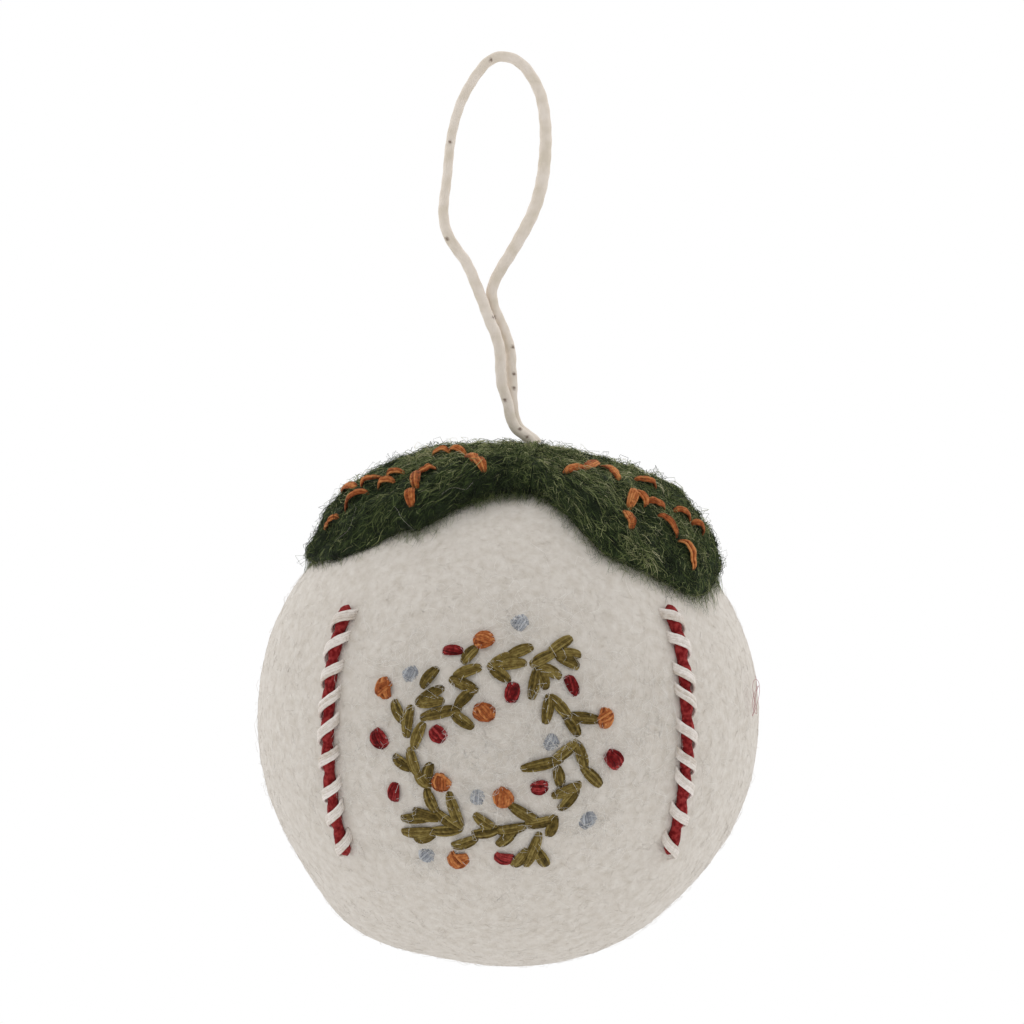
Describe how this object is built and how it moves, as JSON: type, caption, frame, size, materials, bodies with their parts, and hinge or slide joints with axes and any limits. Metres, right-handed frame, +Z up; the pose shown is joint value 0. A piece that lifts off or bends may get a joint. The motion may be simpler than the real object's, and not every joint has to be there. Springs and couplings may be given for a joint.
{
  "type": "christmas bauble",
  "caption": "White felt Christmas bauble with green felt leaves, an embroidered wreath of leaves and berries, striped borders and a cotton cord hanging loop.",
  "frame": {"origin": "the hanging point: the inside top of the cord loop, where a hook or twig carries it", "axes": "+Z up from the ball to the loop, +X to the right of the embroidered front, front towards -Y"},
  "size_m": [0.08, 0.0816, 0.1475],
  "materials": {
    "white_felt": "matte",
    "core_wool": "matte",
    "green_felt": "matte",
    "cotton_cord": "matte",
    "orange_thread": "matte",
    "olive_thread": "matte",
    "red_thread": "matte",
    "cream_thread": "matte",
    "blue_thread": "matte"
  },
  "bodies": {
    "hanging_loop": {"hanging_loop": "cotton_cord"},
    "cord_stem": {"cord_stem": "cotton_cord"},
    "cord_knot": {"cord_knot": "cotton_cord"},
    "bauble": {"felt_ball": "white_felt", "wool_core": "core_wool", "leaf_left": "green_felt", "leaf_right": "green_felt", "leaf_left_veins": "orange_thread", "leaf_right_veins": "orange_thread", "wreath_sprig_01": "olive_thread", "wreath_sprig_02": "olive_thread", "wreath_sprig_03": "olive_thread", "wreath_sprig_04": "olive_thread", "wreath_sprig_05": "olive_thread", "wreath_sprig_06": "olive_thread", "wreath_sprig_07": "olive_thread", "wreath_sprig_08": "olive_thread", "wreath_sprig_09": "olive_thread", "wreath_sprig_10": "olive_thread", "wreath_sprig_11": "olive_thread", "wreath_sprig_12": "olive_thread", "wreath_sprig_13": "olive_thread", "wreath_sprig_14": "olive_thread", "red_berry_01": "red_thread", "red_berry_02": "red_thread", "red_berry_03": "red_thread", "red_berry_04": "red_thread", "red_berry_05": "red_thread", "red_berry_06": "red_thread", "red_berry_07": "red_thread", "red_berry_08": "red_thread", "red_berry_09": "red_thread", "orange_berry_01": "orange_thread", "orange_berry_02": "orange_thread", "orange_berry_03": "orange_thread", "orange_berry_04": "orange_thread", "orange_berry_05": "orange_thread", "orange_berry_06": "orange_thread", "orange_berry_07": "orange_thread", "blue_berry_01": "blue_thread", "blue_berry_02": "blue_thread", "blue_berry_03": "blue_thread", "blue_berry_04": "blue_thread", "blue_berry_05": "blue_thread", "blue_berry_06": "blue_thread", "border_left": "red_thread", "border_whipping_left": "cream_thread", "border_right": "red_thread", "border_whipping_right": "cream_thread"}
  },
  "joints": [
    {"name": "side_swing", "type": "hinge", "parent": "hanging_loop", "child": "cord_stem", "pos_m": [0.00016, 0, -0.0536], "axis": [0, 1, 0], "range_deg": [-45, 45], "deforming": ["hanging_loop", "cord_stem"]},
    {"name": "front_swing", "type": "hinge", "parent": "cord_stem", "child": "cord_knot", "pos_m": [0.00435, -0.00012, -0.0615], "axis": [1, 0, 0], "range_deg": [-45, 45], "deforming": ["cord_stem"]},
    {"name": "ball_spin", "type": "hinge", "parent": "cord_knot", "child": "bauble", "pos_m": [0.00435, 0, -0.0615], "axis": [0, 0, 1], "continuous": true}
  ]
}
